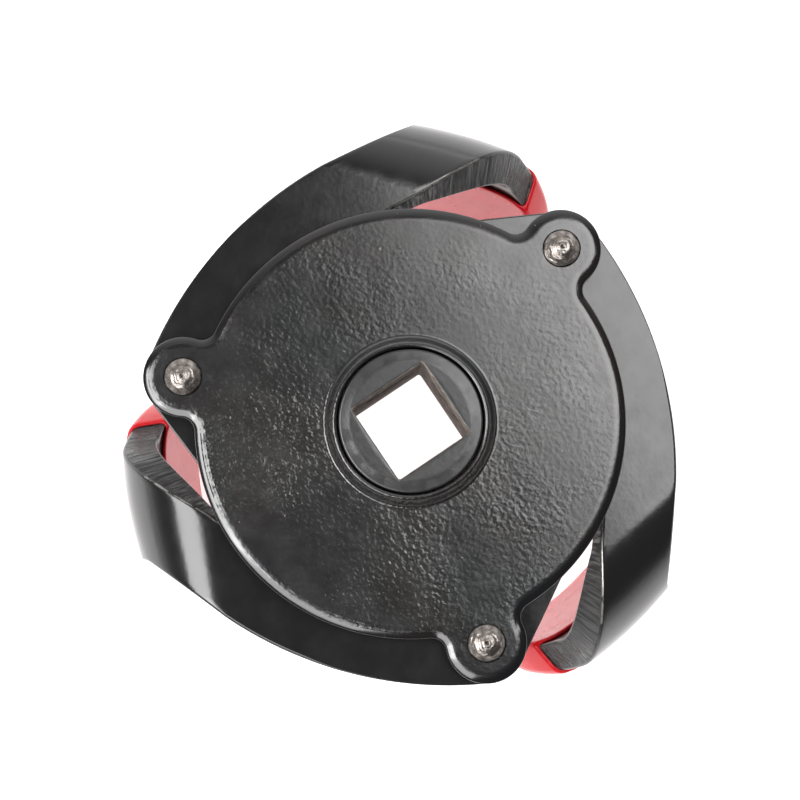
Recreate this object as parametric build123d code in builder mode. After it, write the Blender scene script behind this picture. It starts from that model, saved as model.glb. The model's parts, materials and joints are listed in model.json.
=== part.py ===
from build123d import *
from math import acos, asin, copysign, cos, pi, radians, sin, sqrt, tan
import os

os.makedirs("parts", exist_ok=True)

# Three-jaw oil filter wrench.
# Origin: centre of the drive gear's top face. +Z points up, to the ratchet's side.
# X and Y run along the sides of the square drive. All sizes are millimetres.

# --- driving dimensions -----------------------------------------------------------------
JAWS = 3
PIVOT_RADIUS = 35.0  # tool axis to jaw pivot
FIRST_PIVOT_ANGLE = 15.0  # turn of the first pivot from the square's side

# Heights down the stack, from the drive gear's top face.
COLLAR_TOP = -0.2
COVER_TOP = -1.6
COVER_T = 3.0
SIDE_CLEARANCE = 0.15  # above and below the jaws
SHEET_T = 5.5  # jaw plate
BOTTOM_COVER_T = 2.5
JAW_TOP = COVER_TOP - COVER_T - SIDE_CLEARANCE
JAW_BOTTOM = JAW_TOP - SHEET_T
BOTTOM_COVER_TOP = JAW_BOTTOM - SIDE_CLEARANCE
BOTTOM_COVER_BOTTOM = BOTTOM_COVER_TOP - BOTTOM_COVER_T

# Top and bottom covers.
COVER_RADIUS = 32.6
LOBE_RADIUS = 6.1
LOBE_FILLET = 2.2
COVER_EDGE = 0.9
COLLAR_OUTER = 13.0
COLLAR_SLOPE = 40  # degrees from upright
BOTTOM_RADIUS = 30.0
BOTTOM_EDGE = 0.5

# Drive gear.
DRIVE_SQUARE = 12.8
GEAR_DEPTH = 20.0
HUB_RADIUS = 10.85
HUB_BORE_CLEARANCE = 0.35
HUB_CHAMFER = 0.9
DETENT_RADIUS = 7.5
DETENT_DEPTH = 6.5
DETENT_WIDTH = 2.0

# Gearing: a 15-tooth sun and jaws cut from a 20-tooth gear.
MODULE = 2.0
SUN_TEETH = 15
SECTOR_GEAR_TEETH = 20
PRESSURE_ANGLE = 20.0
ADDENDUM = 0.8 * MODULE
DEDENDUM = 1.05 * MODULE
TOOTH_THINNING = 0.68  # play of a blanked gear, taken off each tooth at the pitch circle
SUN_PITCH = MODULE * SUN_TEETH / 2
SECTOR_PITCH = MODULE * SECTOR_GEAR_TEETH / 2

# Pivots.
SHANK_RADIUS = 2.5
SLEEVE_RADIUS = 3.6
RUNNING_CLEARANCE = 0.05
HEAD_RADIUS = 2.9
HEAD_HEIGHT = 1.5
FOOT_HEAD_HEIGHT = 1.0

# Jaw blank, in the jaw's own plan: origin at the pivot, X along the claw towards its tip,
# Y away from the tool axis.
AXIS_BEARING = 8.6  # direction of the tool axis from the pivot
EYE_RADIUS = 6.3
FLANK_BEARING = -34.4  # straight back of the toothed sector
SECTOR_TEETH_PLACES = range(-3, 2)
CLOSING_TURN = 7.0  # largest inward swing that the sun must clear
SUN_RELIEF = 0.5
BEND_START = 38.3
BEND_RADIUS = 14.2  # outer radius of the right-angle bend
LEAD_START = (13.0, 26.3)  # the arm's inner edge, straight to the bend
LEAD_AT_BEND = (24.2, BEND_START)
LEAD_EASE = 0.0152  # how the leading edge steepens round the bend, per mm of sheet
TRAIL_VIA = (0.24, 24.95)  # the arm's outer edge, one arc to the bend
TRAIL_AT_BEND = (9.5, BEND_START)
TRAIL_RUN = 12.5  # length of sheet in which the outer edge reaches the claw's back
EDGE_TAPER = 1.6  # the sheared inner edge stands out this much more underneath

# Claw, below the bend: X as above, depth below the bend's lower end.
CLAW_CURVE_RADIUS = 50.0  # in plan, hollow towards the filter
CLAW_CURVE_CENTRE = 31.5  # where along X the claw stands furthest out
CLAW_TRAIL = 19.8
CLAW_TIP = 40.2  # upper corner of the leading edge
CLAW_LEAD = 44.6  # leading edge further down
CLAW_TIP_DEPTH = 2.6
CLAW_SLOPE_DEPTH = 17.0
CLAW_DEPTH = 35.0
CLAW_CORNER = 6.0
CLAW_TIP_CORNER = 1.2

# Dipped grip.
GRIP_T = 0.9
DIP_DEPTH = 3.7  # dip line, below the bend's lower end

# Plan bearing of the claw's direction from its pivot's radius, and where each jaw stands
# at rest within the play of its teeth.
CLAW_BEARING = 180.0 - AXIS_BEARING
JAW_PLAY = (0.2, 1.5, -1.7)

PIVOT_ANGLES = [FIRST_PIVOT_ANGLE + k * 360 / JAWS for k in range(JAWS)]


# --- gear teeth -------------------------------------------------------------------------
def involute(angle):
    """Involute function of an angle in radians."""
    return tan(angle) - angle


def tooth_outline(pitch_radius):
    """Half outline of one tooth along +X: points from its foot to its tip."""
    base = pitch_radius * cos(radians(PRESSURE_ANGLE))
    tip = pitch_radius + ADDENDUM
    foot = max(base, pitch_radius - DEDENDUM)
    half = (pi * MODULE / 2 - TOOTH_THINNING) / (2 * pitch_radius)
    half += involute(radians(PRESSURE_ANGLE))
    points = []
    for step in range(5):
        radius = foot + (tip - foot) * step / 4
        turn = half - involute(acos(min(1.0, base / radius)))
        points.append((radius * cos(turn), radius * sin(turn)))
    return points


def build_tooth(pitch_radius):
    """One tooth along +X, sunk below the root circle."""
    flank = tooth_outline(pitch_radius)
    mirrored = [(x, -y) for x, y in flank]
    foot = (pitch_radius - DEDENDUM - 1.0, flank[0][1])
    foot_mirrored = (foot[0], -foot[1])
    tip = (pitch_radius + ADDENDUM, 0)
    with BuildSketch() as tooth:
        with BuildLine():
            Line(foot, flank[0])
            Spline(*flank)
            ThreePointArc(flank[-1], tip, mirrored[-1])
            Spline(*reversed(mirrored))
            Line(mirrored[0], foot_mirrored)
            Line(foot_mirrored, foot)
        make_face()
    return tooth.sketch


# --- drive gear -------------------------------------------------------------------------
sun_tooth = build_tooth(SUN_PITCH)

with BuildPart() as drive_gear:
    with BuildSketch(Plane.XY.offset(-GEAR_DEPTH)):
        Circle(HUB_RADIUS)
    extrude(amount=GEAR_DEPTH)
    chamfer(drive_gear.edges().group_by(Axis.Z)[-1], HUB_CHAMFER)
    chamfer(drive_gear.edges().group_by(Axis.Z)[0], HUB_CHAMFER)
    with BuildSketch(Plane.XY.offset(JAW_BOTTOM)):
        Circle(SUN_PITCH - DEDENDUM)
        # A gap faces each pivot, so the teeth stand half a pitch off.
        with PolarLocations(0, SUN_TEETH, start_angle=FIRST_PIVOT_ANGLE + 180 / SUN_TEETH):
            add(sun_tooth)
    extrude(amount=SHEET_T)
    with BuildSketch(Plane.XY):
        Rectangle(DRIVE_SQUARE, DRIVE_SQUARE)
    extrude(amount=-GEAR_DEPTH, mode=Mode.SUBTRACT)
    with BuildSketch(Plane.XY.offset(-DETENT_DEPTH)):
        Circle(DETENT_RADIUS)
    extrude(amount=-DETENT_WIDTH, mode=Mode.SUBTRACT)
drive_gear.part.label = "drive_gear"
export_step(drive_gear.part, "parts/drive_gear.step")

# --- covers -----------------------------------------------------------------------------
def build_outline(disc_radius):
    """Three-lobed outline with its pivot holes and hub hole."""
    with BuildSketch() as outline:
        Circle(disc_radius)
        with PolarLocations(PIVOT_RADIUS, JAWS, start_angle=FIRST_PIVOT_ANGLE):
            Circle(LOBE_RADIUS)
        fillet(outline.vertices(), LOBE_FILLET)
        Circle(HUB_RADIUS + HUB_BORE_CLEARANCE, mode=Mode.SUBTRACT)
        with PolarLocations(PIVOT_RADIUS, JAWS, start_angle=FIRST_PIVOT_ANGLE):
            Circle(SHANK_RADIUS + RUNNING_CLEARANCE, mode=Mode.SUBTRACT)
    return outline.sketch


with BuildPart() as top_cover:
    with BuildSketch(Plane.XY.offset(COVER_TOP - COVER_T)):
        add(build_outline(COVER_RADIUS))
    extrude(amount=COVER_T)
    fillet(top_cover.faces().sort_by(Axis.Z)[-1].outer_wire().edges(), COVER_EDGE)
    with BuildSketch(Plane.XY.offset(COVER_TOP)):
        Circle(COLLAR_OUTER)
    extrude(amount=COLLAR_TOP - COVER_TOP, taper=COLLAR_SLOPE)
    with BuildSketch(Plane.XY.offset(COLLAR_TOP)):
        Circle(HUB_RADIUS + HUB_BORE_CLEARANCE)
    extrude(amount=COVER_TOP - COLLAR_TOP, mode=Mode.SUBTRACT)
top_cover.part.label = "top_cover"
export_step(top_cover.part, "parts/top_cover.step")

with BuildPart() as bottom_cover:
    with BuildSketch(Plane.XY.offset(BOTTOM_COVER_BOTTOM)):
        add(build_outline(BOTTOM_RADIUS))
    extrude(amount=BOTTOM_COVER_T)
    lower_face = bottom_cover.faces().sort_by(Axis.Z)[0]
    chamfer(lower_face.outer_wire().edges(), BOTTOM_EDGE)
bottom_cover.part.label = "bottom_cover"
export_step(bottom_cover.part, "parts/bottom_cover.step")


# --- pivots -----------------------------------------------------------------------------
def dome_middle(seat, height):
    """Point halfway round a spherical head of this height on its seat."""
    sphere = (HEAD_RADIUS**2 + height**2) / (2 * abs(height))
    half_turn = asin(HEAD_RADIUS / sphere) / 2
    rise = abs(height) - sphere * (1 - cos(half_turn))
    return (sphere * sin(half_turn), seat + copysign(rise, height))


def build_rivet(pivot):
    """Rivet along the pivot's Z: domed top head, shank and lower foot head."""
    top = COVER_TOP
    foot = BOTTOM_COVER_BOTTOM
    head_middle = dome_middle(top, HEAD_HEIGHT)
    foot_middle = dome_middle(foot, -FOOT_HEAD_HEIGHT)
    with BuildPart() as rivet:
        with BuildSketch(Plane(pivot.origin, pivot.x_dir, -pivot.y_dir)):
            with BuildLine():
                ThreePointArc((0, top + HEAD_HEIGHT), head_middle, (HEAD_RADIUS, top))
                Polyline((HEAD_RADIUS, top), (SHANK_RADIUS, top), (SHANK_RADIUS, foot))
                Line((SHANK_RADIUS, foot), (HEAD_RADIUS, foot))
                ThreePointArc((HEAD_RADIUS, foot), foot_middle, (0, foot - FOOT_HEAD_HEIGHT))
                Line((0, foot - FOOT_HEAD_HEIGHT), (0, top + HEAD_HEIGHT))
            make_face()
        revolve(axis=Axis(pivot.origin, (0, 0, 1)))
    return rivet.part


def build_sleeve(pivot):
    """Spacer sleeve that the jaw turns on and that holds the covers apart."""
    with BuildPart() as sleeve:
        with BuildSketch(pivot.offset(BOTTOM_COVER_TOP)):
            Circle(SLEEVE_RADIUS)
            Circle(SHANK_RADIUS + RUNNING_CLEARANCE, mode=Mode.SUBTRACT)
        extrude(amount=COVER_TOP - COVER_T - BOTTOM_COVER_TOP)
    return sleeve.part


# --- jaws -------------------------------------------------------------------------------
LEG_FACE = BEND_START + BEND_RADIUS  # how far out the claw's outer face stands
BEND_BOTTOM = JAW_TOP - BEND_RADIUS
BEND_NEUTRAL = BEND_RADIUS - SHEET_T / 2
BEND_TURNS = (0, 15, 30, 45, 60, 75, 90)


def bend_edges(turn):
    """X of the trailing and leading edges where the bend has turned this far."""
    run = BEND_NEUTRAL * radians(turn)
    lead = LEAD_AT_BEND[0] + run * (1 - LEAD_EASE * run)
    left = max(0, 1 - run / TRAIL_RUN)
    trail = CLAW_TRAIL - (CLAW_TRAIL - TRAIL_AT_BEND[0]) * left**1.5
    return trail, lead


def bowed(x, radius):
    """How far a plate bowed to this radius stands in from its outermost line."""
    return radius - sqrt(radius**2 - (x - CLAW_CURVE_CENTRE) ** 2)


def bend_section(plan, turn):
    """The sheet's section across the bend where it has turned this far."""
    tilt = radians(turn)
    outermost = BEND_START + BEND_RADIUS * sin(tilt)
    height = JAW_TOP - BEND_RADIUS * (1 - cos(tilt))
    travel = plan.y_dir * cos(tilt) - plan.z_dir * sin(tilt)
    across = Plane(plan.from_local_coords((0, outermost, height)), plan.x_dir, travel)
    trail, lead = bend_edges(turn)
    lead_inside = lead + EDGE_TAPER * sin(2 * tilt)
    bow = CLAW_CURVE_RADIUS / max(0.001, (turn / 90) ** 2)
    outer = [(x, bowed(x, bow)) for x in (trail, (trail + lead) / 2, lead)]
    inner = [
        (x, SHEET_T + bowed(x, bow - SHEET_T))
        for x in (lead_inside, (trail + lead_inside) / 2, trail)
    ]
    with BuildSketch(across) as section:
        with BuildLine():
            ThreePointArc(*outer)
            Line(outer[2], inner[0])
            ThreePointArc(*inner)
            Line(inner[2], outer[0])
        make_face()
    return section.sketch


def build_claw(plan, growth):
    """Bowed upright plate of the claw below the bend, grown on every side."""
    upright = Plane(plan.from_local_coords((0, 0, BEND_BOTTOM)), plan.x_dir, plan.y_dir)
    with BuildPart() as claw:
        with BuildSketch(plan.offset(BEND_BOTTOM - CLAW_DEPTH - growth)):
            with Locations((CLAW_CURVE_CENTRE, LEG_FACE - CLAW_CURVE_RADIUS)):
                Circle(CLAW_CURVE_RADIUS + growth)
                Circle(CLAW_CURVE_RADIUS - SHEET_T - growth, mode=Mode.SUBTRACT)
        extrude(amount=CLAW_DEPTH + growth)
        # The upright plane's Y runs downwards, so the last corners are the lowest.
        with BuildSketch(upright) as rim:
            with BuildLine():
                Polyline(
                    (CLAW_TRAIL, 0),
                    (bend_edges(90)[1], 0),
                    (CLAW_TIP, CLAW_TIP_DEPTH),
                    (CLAW_LEAD, CLAW_SLOPE_DEPTH),
                    (CLAW_LEAD, CLAW_DEPTH),
                    (CLAW_TRAIL, CLAW_DEPTH),
                    close=True,
                )
            make_face()
            fillet(rim.vertices().group_by(Axis.Y)[-1], CLAW_CORNER)
            fillet(rim.vertices().sort_by(Axis.Y)[2], CLAW_TIP_CORNER)
            if growth:
                offset(amount=growth, kind=Kind.ARC)
        extrude(amount=LEG_FACE + 2 * growth, mode=Mode.INTERSECT)
    return claw.part


def build_jaw(plan):
    """Toothed sector, arm, bend and claw, cut and bent from one sheet."""
    claw = build_claw(plan, growth=0)
    sections = [bend_section(plan, turn) for turn in BEND_TURNS]
    tangent = FLANK_BEARING - 90
    flank_start = (EYE_RADIUS * cos(radians(tangent)), EYE_RADIUS * sin(radians(tangent)))
    reach = 2 * SECTOR_PITCH
    flank_end = (
        flank_start[0] + reach * cos(radians(FLANK_BEARING)),
        flank_start[1] + reach * sin(radians(FLANK_BEARING)),
    )
    relief = AXIS_BEARING + CLOSING_TURN
    with BuildSketch() as sector:
        Circle(SECTOR_PITCH - DEDENDUM)
        with BuildLine():
            Polyline((0, 0), flank_start, flank_end, (reach, reach), LEAD_START, close=True)
        make_face(mode=Mode.INTERSECT)
    tooth = build_tooth(SECTOR_PITCH)
    with BuildPart() as jaw:
        with BuildSketch(plan.offset(JAW_BOTTOM)):
            with BuildLine():
                ThreePointArc((-EYE_RADIUS, 0.5), TRAIL_VIA, TRAIL_AT_BEND)
                Polyline(TRAIL_AT_BEND, LEAD_AT_BEND, LEAD_START, (12, 10), (0, 0))
                Line((0, 0), (-EYE_RADIUS, 0.5))
            make_face()
            with PolarLocations(PIVOT_RADIUS, 1, start_angle=relief):
                Circle(SUN_PITCH + ADDENDUM + SUN_RELIEF, mode=Mode.SUBTRACT)
            Circle(EYE_RADIUS)
            add(sector.sketch)
            for place in SECTOR_TEETH_PLACES:
                add(tooth, rotation=AXIS_BEARING + place * 360 / SECTOR_GEAR_TEETH)
            Circle(SLEEVE_RADIUS + RUNNING_CLEARANCE, mode=Mode.SUBTRACT)
        extrude(amount=SHEET_T)
        loft(sections=sections)
        add(claw)
    return jaw.part


def build_grip(plan, jaw):
    """Dipped coat round the claw, below the dip line."""
    coat = build_claw(plan, growth=GRIP_T)
    with BuildPart() as grip:
        add(coat)
        split(bisect_by=plan.offset(BEND_BOTTOM - DIP_DEPTH), keep=Keep.BOTTOM)
        add(jaw, mode=Mode.SUBTRACT)
    return grip.part


for number, (pivot_angle, play) in enumerate(zip(PIVOT_ANGLES, JAW_PLAY), start=1):
    spoke = radians(pivot_angle)
    place = (PIVOT_RADIUS * cos(spoke), PIVOT_RADIUS * sin(spoke), 0)
    pivot = Plane(place, (cos(spoke), sin(spoke), 0), (0, 0, 1))
    bearing = radians(pivot_angle + CLAW_BEARING + play)
    plan = Plane(place, (cos(bearing), sin(bearing), 0), (0, 0, 1))
    jaw = build_jaw(plan)
    pieces = {
        "jaw": jaw,
        "jaw_grip": build_grip(plan, jaw),
        "pivot_rivet": build_rivet(pivot),
        "pivot_sleeve": build_sleeve(pivot),
    }
    for name, piece in pieces.items():
        piece.label = f"{name}_{number}"
        export_step(piece, f"parts/{piece.label}.step")
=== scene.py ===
import json
from math import acos, atan2, cos, hypot, pi, radians, sin, sqrt, tan

import bpy
import bmesh
from mathutils import Matrix, Vector


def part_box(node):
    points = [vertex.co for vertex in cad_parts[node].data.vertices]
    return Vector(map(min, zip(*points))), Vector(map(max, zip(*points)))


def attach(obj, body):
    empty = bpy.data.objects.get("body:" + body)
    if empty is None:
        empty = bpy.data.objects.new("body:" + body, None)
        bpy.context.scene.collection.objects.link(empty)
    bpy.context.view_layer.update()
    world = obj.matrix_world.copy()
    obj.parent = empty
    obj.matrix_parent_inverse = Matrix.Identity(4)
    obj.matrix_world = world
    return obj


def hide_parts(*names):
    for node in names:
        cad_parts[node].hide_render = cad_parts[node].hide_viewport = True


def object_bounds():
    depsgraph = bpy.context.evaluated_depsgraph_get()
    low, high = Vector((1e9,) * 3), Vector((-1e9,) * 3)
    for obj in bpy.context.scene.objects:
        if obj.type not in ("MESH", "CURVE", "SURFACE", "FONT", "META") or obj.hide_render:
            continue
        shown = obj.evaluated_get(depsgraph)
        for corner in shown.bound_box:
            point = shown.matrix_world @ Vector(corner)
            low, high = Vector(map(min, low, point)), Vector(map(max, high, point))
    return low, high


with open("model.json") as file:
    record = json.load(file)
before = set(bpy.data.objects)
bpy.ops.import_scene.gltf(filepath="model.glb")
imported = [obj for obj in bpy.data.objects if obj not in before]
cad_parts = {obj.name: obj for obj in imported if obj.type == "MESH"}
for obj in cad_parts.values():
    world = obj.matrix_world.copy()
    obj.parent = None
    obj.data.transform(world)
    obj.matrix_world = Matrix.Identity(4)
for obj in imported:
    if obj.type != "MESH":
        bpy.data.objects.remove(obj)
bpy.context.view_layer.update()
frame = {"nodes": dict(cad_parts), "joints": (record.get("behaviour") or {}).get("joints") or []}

# Three-jaw oil filter wrench, in metres, in the frame of its CAD model: +Z towards the
# ratchet, origin at the centre of the drive gear's top face.

# --- sizes read from the frame ---
JAWS = 3
PIVOTS = [Vector(joint["pos_m"]) for joint in frame["joints"] if "swing" in joint["name"]]
PIVOT_RADIUS = PIVOTS[0].length
PIVOT_ANGLES = [atan2(pivot.y, pivot.x) for pivot in PIVOTS]

COVER_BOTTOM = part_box("top_cover")[0].z
COLLAR_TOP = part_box("top_cover")[1].z
COVER_T = 0.0030
COVER_TOP = COVER_BOTTOM + COVER_T
LOWER_COVER_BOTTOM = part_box("bottom_cover")[0].z
LOWER_COVER_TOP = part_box("bottom_cover")[1].z
JAW_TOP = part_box("jaw_1")[1].z
HEAD_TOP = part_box("pivot_rivet_1")[1].z
FOOT_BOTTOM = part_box("pivot_rivet_1")[0].z
GEAR_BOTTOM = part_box("drive_gear")[0].z
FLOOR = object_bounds()[0].z

# --- sizes that the frame doesn't give ---
COVER_RADIUS = 0.0326
LOWER_COVER_RADIUS = 0.0300
LOBE_RADIUS = 0.0061
LOBE_FILLET = 0.0022
COLLAR_OUTER = 0.0132
COLLAR_INNER = 0.0111
HUB_RADIUS = 0.01085
HALF_SQUARE = 0.0064
DETENT_RADIUS = 0.0075
DETENT_TOP = -0.0065
DETENT_BOTTOM = -0.0085
SQUARE_CORNER = 0.0004
HEAD_RADIUS = 0.0029
SHANK_RADIUS = 0.0025
PIT_RADIUS = 0.0004

MODULE = 0.0020
ADDENDUM = 0.8 * MODULE
DEDENDUM = 1.05 * MODULE
TOOTH_THINNING = 0.00076
PRESSURE_ANGLE = radians(20)
SUN_TEETH = 15
SECTOR_GEAR_TEETH = 20
SECTOR_PLACES = range(-3, 2)  # the jaw's teeth, counted from its axis bearing
SUN_PITCH = MODULE * SUN_TEETH / 2
SECTOR_PITCH = MODULE * SECTOR_GEAR_TEETH / 2

SHEET_T = 0.0055  # the jaws' plate
AXIS_BEARING = radians(8.6)
EYE_RADIUS = 0.0063
EYE_BORE = 0.00365
EYE_JOIN = radians(175.5)  # where the eye's round meets the arm's back
TOOTH_ROUND = 0.0002  # rounding of the teeth's edges, and of the edges past them
EDGE_ROUND = 0.00045
TEETH_REACH = 0.0225
FLANK_BEARING = radians(-34.4)
BEND_START = 0.0383
BEND_RADIUS = 0.0142
BEND_NEUTRAL = BEND_RADIUS - SHEET_T / 2
BEND_RUN = BEND_NEUTRAL * pi / 2
INNER_CORNER_X = 0.0122
LEAD_START = Vector((0.0135, 0.0263))  # the arm's inner edge, straight to the bend
LEAD_AT_BEND = 0.0250
LEAD_EASE = 12.3  # how the leading edge steepens round the bend, per metre of sheet
TRAIL_VIA = Vector((0.00024, 0.02495))
TRAIL_AT_BEND = 0.0095
TRAIL_RUN = 0.0125
EDGE_TAPER = 0.0013  # most that the cut edge leans out at its lower corner
STAND_RUN = 0.0080  # length of arm before the bend over which it starts to
CLAW_CURVE_RADIUS = 0.050
CLAW_CURVE_CENTRE = 0.0315
CLAW_TRAIL = 0.0198
CLAW_LEAD = 0.0456
CLAW_TIP_DEPTH = 0.0026
CLAW_LEAN = radians(3)  # inwards, past upright
CLAW_SLOPE_DEPTH = 0.0170
CLAW_DEPTH = 0.0350
CLAW_CORNER = 0.0060
TIP_HOOK = 30  # extra inward curve of the claw's tip, per metre, from this X
TIP_HOOK_FROM = 0.0370
GRIP_T = 0.00065
DIP_DEPTH = 0.0037
CLAW_BEARING = pi - AXIS_BEARING
JAW_PLAY = (radians(0.2), radians(1.5), radians(-1.7))  # each jaw's own lie, within the play
RUBBED_SIDE = radians(11)  # bearing of the side where the top cover is rubbed smoother

# --- fineness of the meshes ---
HOLE_COUNT = 160
FLAT_MARGIN = 0.0002
GRIP_COLUMNS = 16
COLUMNS = 18
BORE_COUNT = 48
RIVET_COUNT = 64
ROUND_STEPS = 3


# --- small helpers ---
def polar(radius, angle):
    """Point at a radius and an angle."""
    return Vector((radius * cos(angle), radius * sin(angle)))


def blend(a, b, share):
    """Value between a and b, with smooth ends."""
    share = min(1.0, max(0.0, share))
    share = share * share * (3 - 2 * share)
    return a + (b - a) * share


def make_piece(name, verts, faces, material, body, replaced, location=(0, 0, 0)):
    """Closed, smooth-shaded mesh object that rides on a body and stands for a CAD node."""
    mesh = bpy.data.meshes.new(name)
    mesh.from_pydata([tuple(v) for v in verts], [], faces)
    piece = bpy.data.objects.new(name, mesh)
    bpy.context.collection.objects.link(piece)
    piece.location = location
    bm = bmesh.new()
    bm.from_mesh(mesh)
    bmesh.ops.recalc_face_normals(bm, faces=bm.faces)
    bm.to_mesh(mesh)
    bm.free()
    mesh.shade_smooth()
    mesh.materials.append(material)
    weighted = piece.modifiers.new("weighted_normals", "WEIGHTED_NORMAL")
    weighted.weight = 80
    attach(piece, body)
    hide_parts(replaced)
    return piece


def paint_points(piece, name, values):
    """Value for each point of a mesh, for its material to read."""
    attribute = piece.data.attributes.new(name, "FLOAT", "POINT")
    attribute.data.foreach_set("value", values)


def arc_points(centre, radius, start, end, step):
    """Points along an arc, from one angle to another, about a step apart."""
    count = max(2, round(abs(end - start) * radius / step))
    return [centre + polar(radius, start + (end - start) * k / count) for k in range(count + 1)]


def line_points(a, b, step):
    """Points along a straight line, about a step apart."""
    count = max(1, round((b - a).length / step))
    return [a.lerp(b, k / count) for k in range(count + 1)]


def joined(*stretches):
    """One list of points from stretches that meet end to end."""
    points = []
    for stretch in stretches:
        for point in stretch:
            if not points or (point - points[-1]).length > 1e-7:
                points.append(point)
    if (points[0] - points[-1]).length < 1e-7:
        points.pop()
    return points


def outward_normals(points):
    """Unit normals of a closed anticlockwise outline, pointing out."""
    normals = []
    for k, point in enumerate(points):
        before = points[k - 1]
        after = points[(k + 1) % len(points)]
        run = (point - before).normalized() + (after - point).normalized()
        normals.append(Vector((run.y, -run.x)).normalized())
    return normals


# --- materials ---
def new_material(name):
    """Empty node material and its principled shader."""
    material = bpy.data.materials.new(name)
    material.use_nodes = True
    tree = material.node_tree
    return material, tree, tree.nodes["Principled BSDF"]


def from_attribute(tree, name):
    """Value painted on the mesh's points."""
    return add_node(tree, "ShaderNodeAttribute", attribute_name=name).outputs["Fac"]


def add_node(tree, kind, **settings):
    """Node with properties and input values set by name."""
    node = tree.nodes.new(kind)
    for key, value in settings.items():
        if key in node.inputs:
            node.inputs[key].default_value = value
        else:
            setattr(node, key, value)
    return node


def object_coordinates(tree, stretch=(1, 1, 1)):
    """Object coordinates, stretched along each axis."""
    source = add_node(tree, "ShaderNodeTexCoord")
    mapping = add_node(tree, "ShaderNodeMapping")
    mapping.inputs["Scale"].default_value = stretch
    tree.links.new(source.outputs["Object"], mapping.inputs["Vector"])
    return mapping.outputs["Vector"]


def noise(tree, vector, scale, detail=3.0, roughness=0.55, distortion=0.0):
    """Noise value at a scale per metre."""
    node = add_node(
        tree, "ShaderNodeTexNoise", Scale=scale, Detail=detail, Roughness=roughness,
        Distortion=distortion,
    )
    tree.links.new(vector, node.inputs["Vector"])
    return node.outputs["Fac"]


def ramp(tree, value, stops):
    """Colour ramp through (position, colour) stops."""
    node = tree.nodes.new("ShaderNodeValToRGB")
    elements = node.color_ramp.elements
    while len(elements) < len(stops):
        elements.new(0.5)
    for element, (position, colour) in zip(elements, stops):
        element.position = position
        element.color = (*colour, 1)
    tree.links.new(value, node.inputs["Fac"])
    return node.outputs["Color"]


def grey(value):
    """Grey as a colour."""
    return (value, value, value)


def bump(tree, height, strength, distance, normal=None):
    """Bump normal from a height value."""
    node = add_node(tree, "ShaderNodeBump", Strength=strength, Distance=distance)
    tree.links.new(height, node.inputs["Height"])
    if normal is not None:
        tree.links.new(normal, node.inputs["Normal"])
    return node.outputs["Normal"]


def math_node(tree, operation, *values):
    """Maths on values that are each a socket or a number."""
    node = add_node(tree, "ShaderNodeMath", operation=operation)
    for socket, value in zip(node.inputs, values):
        if isinstance(value, (int, float)):
            socket.default_value = value
        else:
            tree.links.new(value, socket)
    return node.outputs[0]


def cover_paint():
    """Gloss black enamel over a pebbled casting skin, with a few specks of dust and rust."""
    material, tree, shader = new_material("cover_paint")
    coords = object_coordinates(tree)
    pebble = noise(tree, coords, 1350, detail=1.5, roughness=0.45, distortion=0.2)
    patch = ramp(
        tree, noise(tree, coords, 55, detail=2), [(0.38, grey(0.30)), (0.62, grey(1.0))]
    )
    lie = add_node(tree, "ShaderNodeVectorMath", operation="DOT_PRODUCT")
    tree.links.new(coords, lie.inputs[0])
    lie.inputs[1].default_value = (*polar(1 / COVER_RADIUS, RUBBED_SIDE), 0)
    rubbed = ramp(
        tree, math_node(tree, "MULTIPLY_ADD", lie.outputs["Value"], 0.5, 0.5),
        [(0.35, grey(1.0)), (0.72, grey(0.25))],
    )
    smooth = from_attribute(tree, "smooth")
    skin_height = pebble
    for share in (patch, rubbed, math_node(tree, "SUBTRACT", 1, smooth)):
        skin_height = math_node(tree, "MULTIPLY", skin_height, share)
    normal = bump(tree, noise(tree, coords, 120, detail=2), 0.2, 0.00020)
    normal = bump(tree, skin_height, 0.9, 0.00014, normal)
    speck = noise(tree, coords, 1900, detail=1)
    brown = noise(tree, coords, 45, detail=2)
    tint = ramp(tree, brown, [(0.40, (0.008, 0.008, 0.009)), (0.70, (0.014, 0.011, 0.010))])
    dots = ramp(tree, speck, [(0.775, grey(0)), (0.80, grey(1))])
    base = add_node(tree, "ShaderNodeMix", data_type="RGBA")
    tree.links.new(dots, base.inputs["Factor"])
    tree.links.new(tint, base.inputs[6])
    base.inputs[7].default_value = (0.16, 0.12, 0.09, 1)
    tree.links.new(base.outputs[2], shader.inputs["Base Color"])
    rough = ramp(tree, noise(tree, coords, 260, detail=3), [(0.3, grey(0.21)), (0.7, grey(0.27))])
    gloss = math_node(tree, "MULTIPLY", smooth, 0.10)
    tree.links.new(math_node(tree, "SUBTRACT", rough, gloss), shader.inputs["Roughness"])
    tree.links.new(normal, shader.inputs["Normal"])
    shader.inputs["Specular IOR Level"].default_value = 1.0
    return material


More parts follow.
